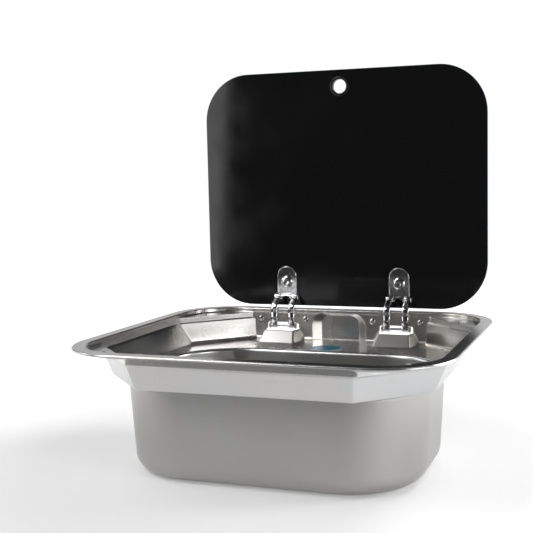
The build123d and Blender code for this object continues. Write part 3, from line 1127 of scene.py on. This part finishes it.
@dataclass
class GlassLid:
    """The glass lid with its ring, clamps and hinge arms."""

    nodes: dict[str, bpy.types.Object]
    arm_offset: float = 12.25

    def build(self, paint: Paint) -> None:
        """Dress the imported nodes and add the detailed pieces.

        Args:
            paint: the materials.
        """
        paint.node(self.nodes["lid_glass"], Finish.GLASS)
        FingerRing().build(paint)
        for side in Side:
            paint.node(self.nodes[f"clamp_plate_{side.label}"], Finish.CHROME)
            paint.node(self.nodes[f"knuckle_pins_{side.label}"], Finish.PIN)
            paint.node(self.nodes[f"inner_gasket_{side.label}"], Finish.GASKET)
            paint.node(self.nodes[f"outer_gasket_{side.label}"], Finish.GASKET)
            outward = side.sign * self.arm_offset
            HingeArm(f"arm_{side.label}_outer", side.value + outward).build(paint)
            HingeArm(f"arm_{side.label}_inner", side.value - outward).build(paint)
            PlateRim(side).build(paint)
            ClampScrew(side).build(paint)
            OuterCap(side).build(paint)
        LOG.info("lid dressed")


# ---- studio ----
@dataclass
class StudioLamp:
    """One soft box that points at the object."""

    name: str
    position: Point
    size: Span
    power: float
    target: Point = (0.0, 0.0, 0.12)

    def place(self) -> None:
        """Add the lamp to the scene."""
        data = bpy.data.lights.new(self.name, "AREA")
        data.shape = "RECTANGLE"
        data.size, data.size_y = self.size
        data.energy = self.power
        lamp = bpy.data.objects.new(self.name, data)
        lamp.location = self.position
        aim = Vector(self.target) - Vector(self.position)
        lamp.rotation_euler = aim.to_track_quat("-Z", "Y").to_euler()
        bpy.context.scene.collection.objects.link(lamp)


@dataclass
class StudioFloor:
    """Pale floor whose far part fades to white, while the object's shadow stays near it.

    The lift is the glow near the object and far from it, and the reach says where it starts and ends to
    grow. Only the camera, mirrors and glass see it, so it lights nothing.
    """

    near: float = -0.32
    far: float = 1.9
    half: float = 1.6
    gap: float = 0.0004
    colour: Colour = (0.80, 0.80, 0.80)
    middle: Point = (0.0, 0.0, 0.0)
    lift: Span = (0.20, 1.0)
    lift_reach: Span = (0.30, 1.10)

    def material(self) -> bpy.types.Material:
        """Build the floor's material.

        Returns:
            The finished material.
        """
        material = bpy.data.materials.new("studio_floor")
        material.use_nodes = True
        material.node_tree.nodes.clear()
        graph = Graph(material.node_tree)
        diffuse = graph.add(NodeKind.DIFFUSE)
        diffuse.inputs["Color"].default_value = rgba(self.colour)
        fade = graph.ranged(graph.away_from(self.middle), self.lift, self.lift_reach)
        glow = graph.add(NodeKind.EMISSION)
        graph.link(graph.combine("MULTIPLY", fade, graph.direct_view()), glow.inputs["Strength"])
        both = graph.add(NodeKind.ADD)
        output = graph.add(NodeKind.OUTPUT)
        graph.link(diffuse.outputs["BSDF"], both.inputs[0])
        graph.link(glow.outputs["Emission"], both.inputs[1])
        graph.link(both.outputs["Shader"], output.inputs["Surface"])
        return material

    def lay(self) -> None:
        """Add the floor to the scene."""
        mesh = bpy.data.meshes.new("studio_floor")
        places = ((-self.half, self.near), (self.half, self.near), (self.half, self.far), (-self.half, self.far))
        mesh.from_pydata([(x, y, -self.gap) for x, y in places], [], [(0, 1, 2, 3)])
        mesh.materials.append(self.material())
        floor = bpy.data.objects.new("studio_floor", mesh)
        bpy.context.scene.collection.objects.link(floor)


@dataclass
class StudioWorld:
    """Surroundings: white behind the object, dim in front of it where the photographer stands.

    The camera and glass see the white backdrop. Metal mirrors it low behind the object, with a dimmer
    ceiling above it and a pale floor low in front. Each reach is a part of the direction's unit vector.
    """

    ambient: Colour = (0.15, 0.15, 0.154)
    room: Colour = (0.035, 0.035, 0.036)
    room_floor: Colour = (0.36, 0.36, 0.36)
    room_floor_reach: Span = (-0.20, -0.13)
    backdrop: Colour = (1.0, 1.0, 1.0)
    ceiling: Colour = (0.34, 0.34, 0.345)
    ceiling_reach: Span = (0.10, 0.24)
    back_reach: Span = (-0.25, 0.45)

    def build(self) -> None:
        """Make the world."""
        world = bpy.data.worlds.new("studio_world")
        bpy.context.scene.world = world
        world.use_nodes = True
        world.node_tree.nodes.clear()
        graph = Graph(world.node_tree)
        rise = graph.along(Space.DIRECTION, Axis.Z)
        behind = graph.blend(graph.ranged(rise, FULL, self.ceiling_reach), self.backdrop, self.ceiling)
        before = graph.blend(graph.ranged(rise, FALLING, self.room_floor_reach), self.room, self.room_floor)
        backwards = graph.ranged(graph.along(Space.DIRECTION, Axis.Y), FULL, self.back_reach)
        path = graph.add(NodeKind.LIGHT_PATH)
        metal = graph.blend(path.outputs["Is Glossy Ray"], self.ambient, graph.blend(backwards, before, behind))
        glass = graph.blend(path.outputs["Is Transmission Ray"], metal, self.backdrop)
        seen = graph.blend(path.outputs["Is Camera Ray"], glass, self.backdrop)
        background = graph.add(NodeKind.BACKGROUND)
        output = graph.add(NodeKind.WORLD_OUTPUT)
        graph.link(seen, background.inputs["Color"])
        graph.link(background.outputs["Background"], output.inputs["Surface"])


@dataclass
class PhotoCamera:
    """Camera at the photograph's place and angle, with the lens measured in pixels of its frame."""

    image_size: float = 533.0
    focal_pixels: float = 940.39
    centre_pixel: Span = (314.35, 266.81)
    position: Point = (0.36930, -0.97779, 0.32041)
    yaw: float = -0.33024
    pitch: float = 0.09534
    roll: float = -0.01851
    sensor: float = 36.0
    nearest: float = 0.02

    def turn(self) -> Matrix:
        """Work out the camera's rotation.

        Returns:
            The rotation matrix.
        """
        flat = math.cos(self.pitch)
        forward = Vector((math.sin(self.yaw) * flat, math.cos(self.yaw) * flat, -math.sin(self.pitch)))
        right = Vector((math.cos(self.yaw), -math.sin(self.yaw), 0.0))
        up = right.cross(forward)
        turned_right = right * math.cos(self.roll) + up * math.sin(self.roll)
        turned_up = up * math.cos(self.roll) - right * math.sin(self.roll)
        return Matrix((turned_right, turned_up, -forward)).transposed()

    def place(self) -> None:
        """Add the camera to the scene and look through it."""
        data = bpy.data.cameras.new("photo_camera")
        data.sensor_width = self.sensor
        data.lens = self.focal_pixels / self.image_size * self.sensor
        data.shift_x = (self.image_size / 2 - self.centre_pixel[0]) / self.image_size
        data.shift_y = (self.centre_pixel[1] - self.image_size / 2) / self.image_size
        data.clip_start = self.nearest
        camera = bpy.data.objects.new("photo_camera", data)
        camera.matrix_world = Matrix.Translation(self.position) @ self.turn().to_4x4()
        bpy.context.scene.collection.objects.link(camera)
        bpy.context.scene.camera = camera


@dataclass
class Studio:
    """White floor and backdrop, soft boxes and the camera."""

    lamps: tuple[StudioLamp, ...] = (
        StudioLamp("key_box", (1.19, -0.58, 0.38), (0.6, 0.5), 6.0),
        StudioLamp("right_box", (1.2, 0.49, 0.49), (0.5, 0.5), 8.0),
        StudioLamp("back_box", (0.6, 1.05, 1.0), (0.5, 0.5), 11.0),
        StudioLamp("left_box", (-1.3, -0.23, 0.6), (0.5, 0.5), 2.5),
        StudioLamp("upper_left_box", (-0.85, -0.25, 1.3), (0.8, 0.6), 4.0),
        StudioLamp("upper_front_box", (-0.6, -0.7, 1.1), (0.5, 0.5), 4.5),
        StudioLamp("front_left_box", (-0.98, -1.11, 0.42), (0.42, 0.8), 3.0),
    )

    def build(self) -> None:
        """Set up the whole studio."""
        PhotoCamera().place()
        StudioFloor().lay()
        StudioWorld().build()
        for lamp in self.lamps:
            lamp.place()
        bpy.context.scene.view_settings.view_transform = "Standard"
        LOG.info("studio ready with %d lamps", len(self.lamps))


def main() -> None:
    """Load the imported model, dress it and set the studio."""
    logging.basicConfig(level=logging.INFO, format="%(name)s: %(message)s")
    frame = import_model()
    Studio().build()
    paint = Paint()
    SteelBowl(frame["nodes"]).build(paint)
    GlassLid(frame["nodes"]).build(paint)


if __name__ == "__main__":
    main()
